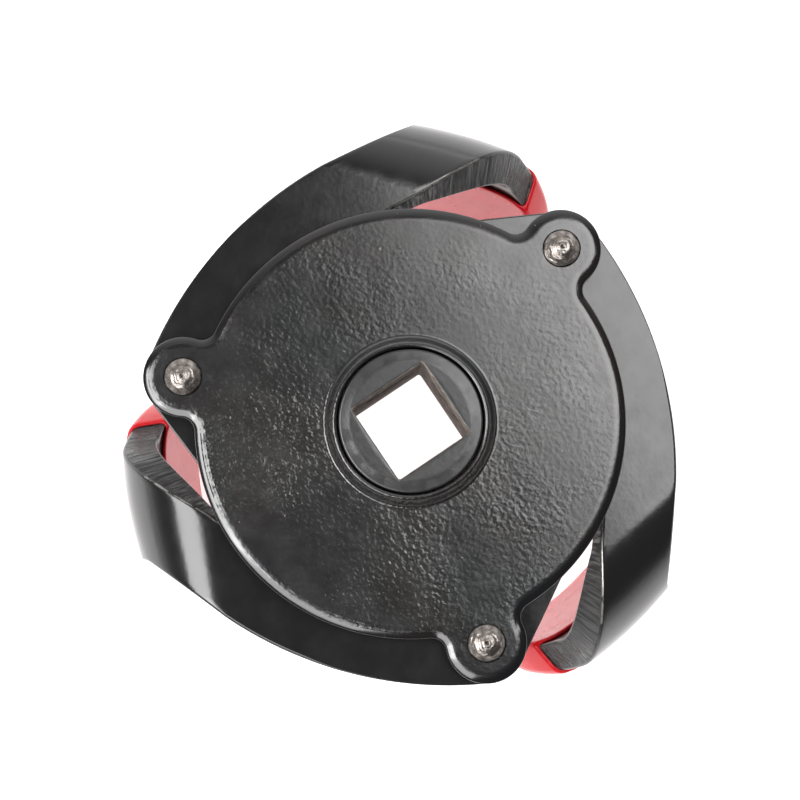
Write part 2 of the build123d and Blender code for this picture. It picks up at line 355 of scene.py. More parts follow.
def jaw_paint():
    """Smooth gloss black enamel, torn across the sheared edge and thin along its corner."""
    material, tree, shader = new_material("jaw_paint")
    coords = object_coordinates(tree)
    cut = from_attribute(tree, "cut")
    edge = add_node(tree, "ShaderNodeUVMap", uv_map="edge")
    stretch = add_node(tree, "ShaderNodeMapping")
    stretch.inputs["Scale"].default_value = (1, 0.20, 1)
    tree.links.new(edge.outputs["UV"], stretch.inputs["Vector"])
    streaks = noise(tree, stretch.outputs["Vector"], 1700, detail=3, roughness=0.65)
    torn = math_node(tree, "MULTIPLY", streaks, cut)
    normal = bump(tree, noise(tree, coords, 70, detail=1), 0.25, 0.0002)
    normal = bump(tree, noise(tree, coords, 1300, detail=2), 0.35, 0.00003, normal)
    normal = bump(tree, torn, 1.0, 0.0012, normal)
    thin = math_node(
        tree, "MULTIPLY", from_attribute(tree, "wear"),
        noise(tree, coords, 420, detail=4, roughness=0.7),
    )
    base = ramp(
        tree, thin, [(0.0, grey(0.011)), (0.36, grey(0.014)), (0.50, (0.34, 0.32, 0.30))]
    )
    tree.links.new(base, shader.inputs["Base Color"])
    metal = ramp(tree, thin, [(0.40, grey(0.0)), (0.52, grey(0.8))])
    tree.links.new(metal, shader.inputs["Metallic"])
    rough = ramp(
        tree, noise(tree, coords, 300, detail=3), [(0.3, grey(0.15)), (0.7, grey(0.21))]
    )
    tears = ramp(tree, streaks, [(0.40, grey(0.45)), (0.60, grey(1.0))])
    duller = math_node(tree, "MULTIPLY", from_attribute(tree, "dull"), tears)
    rougher = math_node(tree, "MAXIMUM", rough, duller)
    tree.links.new(rougher, shader.inputs["Roughness"])
    tree.links.new(normal, shader.inputs["Normal"])
    shader.inputs["Specular IOR Level"].default_value = 0.8
    return material


def gear_paint():
    """Semi-gloss blackened steel, rubbed to brown and grey round the drive square."""
    material, tree, shader = new_material("gear_steel")
    coords = object_coordinates(tree)
    speck = noise(tree, coords, 700, detail=4, roughness=0.65)
    amount = math_node(tree, "MULTIPLY", from_attribute(tree, "worn"), speck)
    base = ramp(
        tree, amount,
        [(0.0, grey(0.012)), (0.25, (0.02, 0.017, 0.015)), (0.40, (0.11, 0.075, 0.055)),
         (0.62, (0.34, 0.30, 0.26))],
    )
    tree.links.new(base, shader.inputs["Base Color"])
    rough = ramp(tree, speck, [(0.3, grey(0.30)), (0.7, grey(0.40))])
    shader.inputs["Specular IOR Level"].default_value = 0.9
    rougher = math_node(tree, "MAXIMUM", rough, from_attribute(tree, "bore"))
    tree.links.new(rougher, shader.inputs["Roughness"])
    normal = bump(tree, noise(tree, coords, 1200, detail=3), 0.35, 0.00008)
    tree.links.new(normal, shader.inputs["Normal"])
    return material


def grip_pvc():
    """Glossy dipped red plastic."""
    material, tree, shader = new_material("grip_pvc")
    coords = object_coordinates(tree)
    tone = ramp(
        tree, noise(tree, coords, 120, detail=2),
        [(0.3, (0.56, 0.004, 0.010)), (0.7, (0.64, 0.008, 0.016))],
    )
    tree.links.new(tone, shader.inputs["Base Color"])
    normal = bump(tree, noise(tree, coords, 110, detail=2), 0.2, 0.0004)
    tree.links.new(normal, shader.inputs["Normal"])
    rough = ramp(tree, noise(tree, coords, 400, detail=2), [(0.3, grey(0.20)), (0.7, grey(0.28))])
    tree.links.new(rough, shader.inputs["Roughness"])
    shader.inputs["Specular IOR Level"].default_value = 0.3
    return material


def rivet_steel():
    """Bare steel head, spun over, with swirl marks round its centre, darker in its pit, and painted
    shade in a thin dark ring round its edge.
    """
    material, tree, shader = new_material("rivet_steel")
    coords = object_coordinates(tree)
    rings = add_node(
        tree, "ShaderNodeTexWave", wave_type="RINGS", rings_direction="Z", Scale=420,
        Distortion=5.0, Detail=3.0,
    )
    rings.inputs["Detail Scale"].default_value = 1.5
    tree.links.new(coords, rings.inputs["Vector"])
    blotch = noise(tree, coords, 900, detail=4, roughness=0.7)
    tone = ramp(
        tree, blotch,
        [(0.3, (0.10, 0.08, 0.07)), (0.5, (0.28, 0.25, 0.23)), (0.72, (0.52, 0.49, 0.46))],
    )
    across = object_coordinates(tree, stretch=(1, 1, 0))
    length = add_node(tree, "ShaderNodeVectorMath", operation="LENGTH")
    tree.links.new(across, length.inputs[0])
    share = math_node(tree, "DIVIDE", length.outputs["Value"], HEAD_RADIUS)
    # Darker in the centre pit; painted shade in a thin dark ring at the head's outer edge, standing
    # in for the shadow where the head meets the cover.
    rim = ramp(
        tree, share,
        [(0.03, grey(0.35)), (0.14, grey(1)), (0.90, grey(1)), (0.96, grey(0.06))],
    )
    shaded = add_node(tree, "ShaderNodeMix", data_type="RGBA", blend_type="MULTIPLY")
    shaded.inputs["Factor"].default_value = 1
    tree.links.new(tone, shaded.inputs[6])
    tree.links.new(rim, shaded.inputs[7])
    tree.links.new(shaded.outputs[2], shader.inputs["Base Color"])
    shader.inputs["Metallic"].default_value = 1.0
    rough = ramp(tree, blotch, [(0.3, grey(0.40)), (0.7, grey(0.24))])
    tree.links.new(rough, shader.inputs["Roughness"])
    normal = bump(tree, rings.outputs["Fac"], 0.6, 0.00009)
    normal = bump(tree, blotch, 0.6, 0.00018, normal)
    tree.links.new(normal, shader.inputs["Normal"])
    return material


def sleeve_steel():
    """Turned bare steel with fine tool marks round it."""
    material, tree, shader = new_material("sleeve_steel")
    turned = object_coordinates(tree, stretch=(1, 1, 12))
    marks = noise(tree, turned, 600, detail=2)
    tone = ramp(tree, marks, [(0.3, grey(0.35)), (0.7, grey(0.55))])
    tree.links.new(tone, shader.inputs["Base Color"])
    shader.inputs["Metallic"].default_value = 1.0
    rough = ramp(tree, marks, [(0.3, grey(0.25)), (0.7, grey(0.4))])
    tree.links.new(rough, shader.inputs["Roughness"])
    normal = bump(tree, marks, 0.3, 0.00005)
    tree.links.new(normal, shader.inputs["Normal"])
    return material


COVER_PAINT = cover_paint()
JAW_PAINT = jaw_paint()
GEAR_PAINT = gear_paint()
GRIP_PVC = grip_pvc()
RIVET_STEEL = rivet_steel()
SLEEVE_STEEL = sleeve_steel()


# --- covers ---
def lobed_outline(disc_radius, step):
    """Anticlockwise outline of a cover: disc arcs, lobe arcs and the fillets between."""
    # How far the fillet's centre is from the axis, from the pivot, and round from its spoke.
    disc_reach = disc_radius + LOBE_FILLET
    lobe_reach = LOBE_RADIUS + LOBE_FILLET
    turn = acos(
        (PIVOT_RADIUS**2 + disc_reach**2 - lobe_reach**2) / (2 * PIVOT_RADIUS * disc_reach)
    )
    stretches = []
    for spoke in PIVOT_ANGLES:
        pivot = polar(PIVOT_RADIUS, spoke)
        near = polar(disc_reach, spoke - turn)
        far = polar(disc_reach, spoke + turn)
        to_near = atan2(*(near - pivot).yx)
        to_far = atan2(*(far - pivot).yx)
        sweep = (to_far - to_near) % (2 * pi)
        facing = spoke - turn + pi
        swing = (to_near + pi - facing + pi) % (2 * pi) - pi
        stretches.append(arc_points(near, LOBE_FILLET, facing, facing + swing, step))
        stretches.append(arc_points(pivot, LOBE_RADIUS, to_near, to_near + sweep, step))
        stretches.append(
            arc_points(far, LOBE_FILLET, to_far + pi, to_far + pi + swing, step)
        )
        rest = 2 * pi / JAWS - 2 * turn
        stretches.append(
            arc_points(Vector((0, 0)), disc_radius, spoke + turn, spoke + turn + rest, step)
        )
    return joined(*stretches)


def band(low, high, count):
    """Faces between two closed rings of vertices, from each ring's first index."""
    faces = []
    for k in range(count):
        after = (k + 1) % count
        faces.append((low + k, low + after, high + after, high + k))
    return faces


def ring_solid(rings):
    """Vertices and faces that join closed rings of equal counts, the last to the first."""
    count = len(rings[0])
    verts = [point for ring in rings for point in ring]
    faces = []
    for level in range(len(rings)):
        faces += band(level * count, (level + 1) % len(rings) * count, count)
    return verts, faces


def raised(points, height):
    """Flat points lifted to a height."""
    return [Vector((point.x, point.y, height)) for point in points]


def inset(points, normals, distance):
    """Outline moved in by a distance."""
    return [point - normal * distance for point, normal in zip(points, normals)]


def rounding(depth, steps):
    """(inset, drop) pairs round a quarter circle, from the flat to the wall."""
    turns = [pi / 2 * k / steps for k in range(steps + 1)]
    return [(depth * (1 - sin(turn)), depth * (1 - cos(turn))) for turn in turns]


def rolled_rim():
    """(inset, drop, smoothness) of a blanked plate's edge, from the wall up to the flat."""
    last, roll, corner = radians(30), 0.0036, 0.00022
    profile = []
    for k in range(5):
        tilt = pi / 2 + (last - pi / 2) * k / 5
        drop = roll * (1 - cos(last)) + corner * (cos(last) - cos(tilt))
        profile.append((corner * (1 - sin(tilt)), drop, 1.0))
    for k in range(10):
        tilt = last * (1 - k / 9)
        place = corner * (1 - sin(last)) + roll * (sin(last) - sin(tilt))
        profile.append((place, roll * (1 - cos(tilt)), 1.0 if k < 5 else 0.3 if k < 8 else 0.0))
    return profile


def circle_ring(radius, height, count=HOLE_COUNT):
    """Ring of points round the axis."""
    return raised([polar(radius, 2 * pi * k / count) for k in range(count)], height)


def plate_with_hole(outside, hole):
    """Vertices and faces of a flat plate from two sets of rings: round its outside, from
    below to above, and down through its hole. The flats between the sets are filled."""
    verts, faces, ends = [], [], []
    for rings in (outside, hole):
        start, count = len(verts), len(rings[0])
        verts += [point for ring in rings for point in ring]
        for level in range(len(rings) - 1):
            faces += band(start + level * count, start + (level + 1) * count, count)
        ends.append(list(range(start, start + count)))
        ends.append(list(range(len(verts) - count, len(verts))))
    fill_between(verts, faces, ends[0], ends[3])
    fill_between(verts, faces, ends[1], ends[2])
    return verts, faces


def build_top_cover():
    """Lobed plate with a rolled rim and a raised collar round the hub."""
    outline = lobed_outline(COVER_RADIUS, 0.0004)
    normals = outward_normals(outline)
    lower_edge, lip = 0.0004, 0.00035
    under = rounding(lower_edge, 3)
    rim = rolled_rim()
    outside = [raised(inset(outline, normals, lower_edge + FLAT_MARGIN), COVER_BOTTOM)]
    outside += [raised(inset(outline, normals, x), COVER_BOTTOM + z) for x, z in under]
    outside += [raised(inset(outline, normals, x), COVER_TOP - z) for x, z, _ in rim]
    outside.append(raised(inset(outline, normals, rim[-1][0] + FLAT_MARGIN), COVER_TOP))
    hole = [circle_ring(COLLAR_OUTER + FLAT_MARGIN, COVER_TOP)]
    steps = 14
    for k in range(steps + 1):
        share = k / steps
        radius = COLLAR_OUTER + (COLLAR_INNER + lip - COLLAR_OUTER) * share
        hole.append(circle_ring(radius, blend(COVER_TOP, COLLAR_TOP, share)))
    for x, z in rounding(lip, 4)[1:]:
        hole.append(circle_ring(COLLAR_INNER + x, COLLAR_TOP - z))
    hole.append(circle_ring(COLLAR_INNER, COVER_BOTTOM))
    hole.append(circle_ring(COLLAR_INNER + FLAT_MARGIN, COVER_BOTTOM))
    verts, faces = plate_with_hole(outside, hole)
    piece = make_piece(
        "top_cover_plate", verts, faces, COVER_PAINT, "housing", "top_cover"
    )
    # The enamel pools smoothly over the rim, and over the last rings of the hole: the
    # collar's lip and the wall below it.
    smooth = [1.0] * (1 + len(under)) + [value for _, _, value in rim] + [0.0]
    values = [value for value in smooth for _ in outline]
    pooled = 6
    values += [0.0] * HOLE_COUNT * (len(hole) - pooled) + [1.0] * HOLE_COUNT * pooled
    paint_points(piece, "smooth", values)


def build_bottom_cover():
    """Lobed plate below the jaws, with its rim rounded below."""
    outline = lobed_outline(LOWER_COVER_RADIUS, 0.0006)
    normals = outward_normals(outline)
    rim, edge = 0.0006, 0.0003
    outside = [raised(inset(outline, normals, rim + FLAT_MARGIN), LOWER_COVER_BOTTOM)]
    outside += [
        raised(inset(outline, normals, x), LOWER_COVER_BOTTOM + z) for x, z in rounding(rim, 5)
    ]
    outside += [
        raised(inset(outline, normals, x), LOWER_COVER_TOP - z)
        for x, z in reversed(rounding(edge, 3))
    ]
    outside.append(raised(inset(outline, normals, edge + FLAT_MARGIN), LOWER_COVER_TOP))
    hole = [
        circle_ring(COLLAR_INNER + edge + FLAT_MARGIN, LOWER_COVER_TOP),
        circle_ring(COLLAR_INNER + edge, LOWER_COVER_TOP),
        circle_ring(COLLAR_INNER, LOWER_COVER_TOP - edge),
        circle_ring(COLLAR_INNER, LOWER_COVER_BOTTOM + edge),
        circle_ring(COLLAR_INNER + edge, LOWER_COVER_BOTTOM),
        circle_ring(COLLAR_INNER + edge + FLAT_MARGIN, LOWER_COVER_BOTTOM),
    ]
    verts, faces = plate_with_hole(outside, hole)
    make_piece(
        "bottom_cover_plate", verts, faces, COVER_PAINT, "housing",
        "bottom_cover",
    )


# --- gear teeth ---
def involute(angle):
    """Involute function of an angle."""
    return tan(angle) - angle


def tooth_points(pitch_radius, bearing):
    """One tooth's outline, anticlockwise, from the root circle and back to it."""
    base = pitch_radius * cos(PRESSURE_ANGLE)
    root = pitch_radius - DEDENDUM
    tip = pitch_radius + ADDENDUM
    foot = max(base, root)
    half = (pi * MODULE / 2 - TOOTH_THINNING) / (2 * pitch_radius)
    half += involute(PRESSURE_ANGLE)
    flank = []
    steps = 6
    for k in range(steps + 1):
        radius = foot + (tip - foot) * k / steps
        flank.append((radius, half - involute(acos(min(1.0, base / radius)))))
    flank.insert(0, (root, flank[0][1]))
    rising = [polar(radius, bearing - turn) for radius, turn in flank]
    falling = [polar(radius, bearing + turn) for radius, turn in reversed(flank)]
    return rising + falling


# --- drive gear ---
def square_radius(angle, half):
    """Distance from the axis to a square hole with rounded corners."""
    x = abs(cos(angle))
    y = abs(sin(angle))
    if x < y:
        x, y = y, x
    straight = half / x
    centre = half - SQUARE_CORNER
    if straight * y <= centre:
        return straight
    along = centre * (x + y)
    return along + sqrt(along**2 - 2 * centre**2 + SQUARE_CORNER**2)


def gear_outline():
    """Outline of the teeth, with a few points along the root circle between them."""
    tooth_step = 2 * pi / SUN_TEETH
    first = PIVOT_ANGLES[0] + tooth_step / 2
    outline = []
    for k in range(SUN_TEETH):
        bearing = first + k * tooth_step
        outline += tooth_points(SUN_PITCH, bearing)
        gap_start = atan2(*outline[-1].yx)
        gap_end = atan2(*tooth_points(SUN_PITCH, bearing + tooth_step)[0].yx)
        gap = (gap_end - gap_start) % (2 * pi)
        root = SUN_PITCH - DEDENDUM
        outline += [polar(root, gap_start + gap * step / 4) for step in range(1, 4)]
    return outline


def gear_spokes():
    """Angles that suit the teeth and the square hole's corners, and the teeth's radii."""
    stops = sorted((atan2(p.y, p.x) % (2 * pi), p.length) for p in gear_outline())
    corners = [
        pi / 4 + quarter * pi / 2 + radians(1.5 * k) for quarter in range(4) for k in range(-6, 7)
    ]

    def tooth_radius(angle):
        for (a, r), (b, s) in zip([(stops[-1][0] - 2 * pi, stops[-1][1])] + stops, stops):
            if a <= angle <= b:
                return r + (s - r) * (angle - a) / (b - a) if b > a else r
        return stops[-1][1]

    angles = sorted({round(a, 7) for a, _ in stops} | {round(a % (2 * pi), 7) for a in corners})
    return angles, [tooth_radius(a) for a in angles]


def gear_rings(angles, teeth):
    """Rings up the outside of the gear, over its top, and down through its square hole."""
    top, bottom = 0.0, GEAR_BOTTOM
    ring_top, ring_bottom = JAW_TOP, JAW_TOP - SHEET_T
    chamfer, soft, mouth = 0.0005, 0.00012, 0.0002
    bevel, drop, rim_round = 0.0016, 0.00014, 0.00038

    def circle(radius, height):
        return raised([polar(radius, a) for a in angles], height)

    def square(half, height):
        return raised([polar(square_radius(a, half), a) for a in angles], height)

    def groove(height):
        reach = [max(DETENT_RADIUS, square_radius(a, HALF_SQUARE)) for a in angles]
        return raised([polar(r, a) for r, a in zip(reach, angles)], height)

    def gear(reduce, height):
        return raised([polar(r - reduce, a) for a, r in zip(angles, teeth)], height)

    rings = [
        circle(HUB_RADIUS - chamfer, bottom),
        circle(HUB_RADIUS - soft, bottom + chamfer - soft),
        circle(HUB_RADIUS, bottom + chamfer + soft),
        circle(HUB_RADIUS, ring_bottom - soft),
        circle(HUB_RADIUS + soft, ring_bottom),
        gear(soft, ring_bottom),
        gear(0, ring_bottom + soft),
        gear(0, ring_top - soft),
        gear(soft, ring_top),
        circle(HUB_RADIUS + soft, ring_top),
        circle(HUB_RADIUS, ring_top + soft),
    ]
    for x, z in reversed(rounding(rim_round, 5)):
        rings.append(circle(HUB_RADIUS - x, top - drop - z))
    rim = HUB_RADIUS - bevel - 0.5 * soft
    rings += [circle(HUB_RADIUS - bevel + soft, top - 0.5 * soft), circle(rim, top)]
    inner = [square_radius(a, HALF_SQUARE + mouth) for a in angles]
    for share in (0.25, 0.5, 0.75):
        ring = [polar(rim + (reach - rim) * share, a) for reach, a in zip(inner, angles)]
        rings.append(raised(ring, top))
    rings += [
        square(HALF_SQUARE + mouth, top),
        square(HALF_SQUARE + 0.3 * mouth, top - 0.3 * mouth),
        square(HALF_SQUARE, top - mouth),
        square(HALF_SQUARE, DETENT_TOP),
        groove(DETENT_TOP - 0.5 * mouth),
        groove(DETENT_BOTTOM + 0.5 * mouth),
        square(HALF_SQUARE, DETENT_BOTTOM),
        square(HALF_SQUARE, bottom + 2 * mouth),
        square(HALF_SQUARE + mouth, bottom),
    ]
    return rings


def build_drive_gear():
    """Toothed hub with a bevelled rim and a square hole right through, rubbed at its mouth."""
    verts, faces = ring_solid(gear_rings(*gear_spokes()))
    piece = make_piece(
        "drive_gear_hub", verts, faces, GEAR_PAINT, "drive_gear", "drive_gear"
    )
    worn, bore = [], []
    for vertex in piece.data.vertices:
        on_wall = max(abs(vertex.co.x), abs(vertex.co.y)) - HALF_SQUARE < 0.00015
        at_mouth = vertex.co.z > -0.0007
        worn.append((1.0 if at_mouth else 0.75) * on_wall)
        bore.append(0.95 * on_wall)
    paint_points(piece, "worn", worn)
    paint_points(piece, "bore", bore)


# --- pivots ---
def build_rivet(number, pivot):
    """Rivet with a spun domed head, a centre pit, a shank and a low foot head."""
    # (radius, height) from the bottom of the pit, measured from the top of the head.
    profile = [(0.0, -0.00030), (0.00012, -0.00028), (0.00026, -0.00010), (PIT_RADIUS, 0.00001)]
    head = HEAD_TOP - COVER_TOP
    sphere = (HEAD_RADIUS**2 + head**2) / (2 * head)
    steps = 14
    for k in range(1, steps + 1):
        radius = PIT_RADIUS + (HEAD_RADIUS - PIT_RADIUS - 0.00012) * k / steps
        profile.append((radius, sqrt(sphere**2 - radius**2) - sphere))
    profile += [(HEAD_RADIUS, -head + 0.00018), (HEAD_RADIUS, -head)]
    foot = LOWER_COVER_BOTTOM - HEAD_TOP
    profile += [(SHANK_RADIUS, -head), (SHANK_RADIUS, foot)]
    profile += [(HEAD_RADIUS, foot), (HEAD_RADIUS, foot - 0.0001)]
    drop = LOWER_COVER_BOTTOM - FOOT_BOTTOM
    ball = (HEAD_RADIUS**2 + drop**2) / (2 * drop)
    for k in range(steps):
        radius = HEAD_RADIUS * (1 - (k + 0.5) / steps)
        profile.append((radius, foot - drop + ball - sqrt(ball**2 - radius**2)))
    count = RIVET_COUNT
    rings = [circle_ring(radius, height, count) for radius, height in profile[1:]]
    verts, faces = ring_solid(rings)
    faces = faces[: (len(rings) - 1) * count]
    verts += [Vector((0, 0, profile[0][1])), Vector((0, 0, foot - drop))]
    top_point, low_point = len(verts) - 2, len(verts) - 1
    last = (len(rings) - 1) * count
    for k in range(count):
        after = (k + 1) % count
        faces.append((top_point, k, after))
        faces.append((low_point, last + after, last + k))
    make_piece(
        f"rivet_{number}", verts, faces, RIVET_STEEL, "housing",
        f"pivot_rivet_{number}", location=(pivot.x, pivot.y, HEAD_TOP),
    )


# --- jaws ---
def bend_edges(run):
    """X of the trailing and leading edges this far round the bend, along the sheet."""
    lead = LEAD_AT_BEND + run * (1 - LEAD_EASE * run)
    left = max(0, 1 - run / TRAIL_RUN)
    trail = CLAW_TRAIL - (CLAW_TRAIL - TRAIL_AT_BEND) * left**1.5
    return trail, lead


def claw_edges(depth):
    """X of the trailing and leading edges this far below the bend."""
    start = bend_edges(BEND_RUN)[1]
    share = min(1, depth / CLAW_SLOPE_DEPTH)
    lead = start + (CLAW_LEAD - start) * (sin(pi / 2 * share) + 0.10 * sin(pi * share))
    trail = CLAW_TRAIL
    into = depth - (CLAW_DEPTH - CLAW_CORNER)
    if into > 0:
        rounded = CLAW_CORNER - sqrt(max(0, CLAW_CORNER**2 - into**2))
        lead -= rounded
        trail += rounded
    return trail, lead


def sheet_edges(run):
    """X of both edges at a length of sheet from the start of the bend."""
    return bend_edges(run) if run <= BEND_RUN else claw_edges(run - BEND_RUN)


def bent(x, y, t):
    """Place in the jaw's plan of a point of the flat blank, t below its top face."""
    run = y - BEND_START
    if run <= 0:
        return Vector((x, y, JAW_TOP - t))
    turn = min(run / BEND_NEUTRAL, pi / 2 + CLAW_LEAN)
    weight = min(1, turn / (pi / 2)) ** 2
    radius = CLAW_CURVE_RADIUS / max(0.001, weight) - t
    bow = radius - sqrt(radius**2 - (x - CLAW_CURVE_CENTRE) ** 2)
    bow += weight * TIP_HOOK * max(0, x - TIP_HOOK_FROM) ** 2
    reach = BEND_RADIUS - t - bow
    straight = run - BEND_NEUTRAL * turn
    out = BEND_START + reach * sin(turn) + straight * cos(turn)
    height = JAW_TOP - BEND_RADIUS + reach * cos(turn) - straight * sin(turn)
    return Vector((x, out, height))


def jaw_rows():
    """Lengths of sheet, from the bend's start to the claw's foot, where rows lie."""
    rows = [BEND_RUN * k / 26 for k in range(26)]
    rows += [BEND_RUN + CLAW_TIP_DEPTH * k / 8 for k in range(8)]
    straight = CLAW_DEPTH - CLAW_CORNER - CLAW_TIP_DEPTH
    rows += [BEND_RUN + CLAW_TIP_DEPTH + straight * k / 22 for k in range(22)]
    corner = BEND_RUN + CLAW_DEPTH - CLAW_CORNER
    rows += [corner + CLAW_CORNER * sin(pi / 2 * k / 9) for k in range(10)]
    return rows


def sector_outline():
    """Flat end of the blank, from the trailing side of the bend line round to the leading,
    and the place in it where the leading side starts."""
    bend_end = Vector((TRAIL_AT_BEND, BEND_START))
    eye_end = Vector((-EYE_RADIUS, 0.0005))
    centre, radius = circle_through(eye_end, TRAIL_VIA, bend_end)
    start = atan2(*(bend_end - centre).yx)
    end = atan2(*(eye_end - centre).yx)
    outer = arc_points(centre, radius, start, start + (end - start) % (2 * pi), 0.0012)
    tangent = FLANK_BEARING - pi / 2
    eye = arc_points(Vector((0, 0)), EYE_RADIUS, EYE_JOIN, tangent + 2 * pi, 0.0007)
    root = SECTOR_PITCH - DEDENDUM
    flank_bearing = tangent + acos(EYE_RADIUS / root)
    flank = line_points(eye[-1], polar(root, flank_bearing), 0.002)
    step = 2 * pi / SECTOR_GEAR_TEETH
    teeth = []
    for place in SECTOR_PLACES:
        teeth += tooth_points(SECTOR_PITCH, AXIS_BEARING + place * step)
    inner_corner = Vector((INNER_CORNER_X, sqrt(root**2 - INNER_CORNER_X**2)))
    arm = line_points(inner_corner, LEAD_START, 0.002)
    lead = line_points(LEAD_START, Vector((LEAD_AT_BEND, BEND_START)), 0.001)
    points = joined(outer, eye, flank, teeth, arm, lead)
    return points, len(points) - len(lead)


def circle_through(a, b, c):
    """Centre and radius of the circle through three points."""
    ab = b - a
    ac = c - a
    cross = 2 * (ab.x * ac.y - ab.y * ac.x)
    x = (ac.y * ab.length_squared - ab.y * ac.length_squared) / cross
    y = (ab.x * ac.length_squared - ac.x * ab.length_squared) / cross
    centre = a + Vector((x, y))
    return centre, hypot(x, y)


def jaw_outline():
    """Flat blank's outline, with the counts of its flat end's and leading side's points."""
    rows = jaw_rows()
    flat, lead_from = sector_outline()
    lead_side = [Vector((sheet_edges(run)[1], BEND_START + run)) for run in rows[1:]]
    trail, lead = sheet_edges(rows[-1])
    foot = [
        Vector((lead + (trail - lead) * k / COLUMNS, BEND_START + rows[-1]))
        for k in range(1, COLUMNS)
    ]
    trail_side = [Vector((sheet_edges(run)[0], BEND_START + run)) for run in reversed(rows[1:])]
    return flat + lead_side + foot + trail_side, len(flat), lead_from, len(rows)


def jaw_wall(outline, leading):
    """Columns of (place, depth) down the jaw's edge, rounded above and below."""
    wall = []
    for k, (point, normal) in enumerate(zip(outline, outward_normals(outline))):
        radius = blend(TOOTH_ROUND, EDGE_ROUND, (point.length - TEETH_REACH) / 0.006)
        run = point.y - BEND_START
        stand = 0.0
        if k in leading and -STAND_RUN < run < BEND_RUN:
            tilt = max(0, run) / BEND_RUN * pi / 2
            stand = EDGE_TAPER * (cos(tilt) + sin(2 * tilt)) / 2
            stand *= min(1, run / STAND_RUN + 1)
        column = [(point - normal * x, z) for x, z in rounding(radius, ROUND_STEPS)]
        for share in (0.25, 0.5, 0.75):
            column.append((point + normal * stand * share, SHEET_T * share))
        for x, z in reversed(rounding(radius, ROUND_STEPS)):
            column.append((point - normal * (x - stand), SHEET_T - z))
        wall.append(column)
    return wall


def jaw_values(outline, leading, depth, total):
    """Painted values of a jaw: where its edge is torn, where it is dull, and where the
    enamel is thin along its upper corner."""
    cut, dull, wear = [], [], []
    for level in range(depth):
        on_wall = ROUND_STEPS <= level < depth - ROUND_STEPS
        for k, point in enumerate(outline):
            round_bend = (point.y - BEND_START) / BEND_RUN
            tip = blend(0, 1, (round_bend - 0.45) / 0.4) if k in leading else 0.1
            thin = blend(1, 0, (round_bend - 0.3) / 0.5) if k in leading else 0.3
            cut.append((0.1 + 0.9 * tip) * on_wall)
            dull.append((1 - 0.65 * tip) * on_wall)
            wear.append(thin * (1 <= level < ROUND_STEPS))
    rest = [0.0] * (total - len(cut))
    return {"cut": cut + rest, "dull": dull + rest, "wear": wear + rest}


def claw_grid(verts, wall, level, t, row_lead, row_trail):
    """Rows of vertices across the bend and the claw, from the leading to the trailing side."""
    count = len(wall)
    grid = []
    for lead_at, trail_at in zip(row_lead[:-1], row_trail[:-1]):
        a, b = wall[lead_at][level][0], wall[trail_at][level][0]
        line = [level * count + lead_at]
        for k in range(1, COLUMNS):
            line.append(len(verts))
            verts.append(bent(*a.lerp(b, k / COLUMNS), t))
        line.append(level * count + trail_at)
        grid.append(line)
    grid.append([level * count + row_lead[-1] + k for k in range(COLUMNS + 1)])
    return grid


def jaw_mesh():
    """Vertices, faces and painted values of one jaw in its own plan."""
    outline, flat_count, lead_from, row_count = jaw_outline()
    leading = range(lead_from, flat_count + row_count - 1)
    wall = jaw_wall(outline, leading)
    count, depth = len(outline), len(wall[0])
    row_lead = [flat_count - 1 + k for k in range(row_count)]
    row_trail = [0] + [count - k for k in range(1, row_count)]
    verts = [bent(*column[level][0], column[level][1]) for level in range(depth) for column in wall]
    faces = []
    for level in range(depth - 1):
        faces += band(level * count, (level + 1) * count, count)
    bores = []
    for level, t in ((0, 0.0), (depth - 1, SHEET_T)):
        grid = claw_grid(verts, wall, level, t, row_lead, row_trail)
        for upper, lower in zip(grid[:-1], grid[1:]):
            for k in range(COLUMNS):
                faces.append((upper[k], upper[k + 1], lower[k + 1], lower[k]))
        rim = [level * count + k for k in range(flat_count)] + grid[0][1:-1]
        rim = add_margin(verts, faces, rim, 0.00012)
        bore = len(verts)
        margin = bore + BORE_COUNT
        verts += circle_ring(EYE_BORE, JAW_TOP - t, BORE_COUNT)
        verts += circle_ring(EYE_BORE + FLAT_MARGIN, JAW_TOP - t, BORE_COUNT)
        faces += band(bore, margin, BORE_COUNT)
        fill_between(verts, faces, rim, range(margin, margin + BORE_COUNT))
        bores.append(bore)
    faces += band(*bores, BORE_COUNT)
    painted = jaw_values(outline, leading, depth, len(verts))
    return verts, faces, painted, outline, depth


def add_margin(verts, faces, rim, width):
    """Narrow flat strip inside a loop of points, so that the flat face stays flat."""
    flat = [verts[k].xy for k in rim]
    margin = []
    for k, normal in zip(rim, outward_normals(flat)):
        margin.append(len(verts))
        place = verts[k].xy - normal * width
        verts.append(Vector((place.x, place.y, verts[k].z)))
    for k in range(len(rim)):
        after = (k + 1) % len(rim)
        faces.append((rim[k], rim[after], margin[after], margin[k]))
    return margin


def fill_between(verts, faces, rim, bore):
    """Triangles between an outer loop and a round hole, on one flat face."""
    bm = bmesh.new()
    names = {}
    edges = []
    for loop in (rim, bore):
        points = [bm.verts.new(verts[k]) for k in loop]
        names.update(zip(points, loop))
        for a, b in zip(points, points[1:] + points[:1]):
            edges.append(bm.edges.new((a, b)))
    bmesh.ops.triangle_fill(bm, use_beauty=True, use_dissolve=False, edges=edges)
    for face in bm.faces:
        faces.append(tuple(names[v] for v in face.verts))
    bm.free()


def jaw_place(number):
    """Matrix from a jaw's own plan to the frame."""
    pivot = PIVOTS[number - 1]
    bearing = PIVOT_ANGLES[number - 1] + CLAW_BEARING + JAW_PLAY[number - 1]
    return Matrix.Translation((pivot.x, pivot.y, 0)) @ Matrix.Rotation(bearing, 4, "Z")


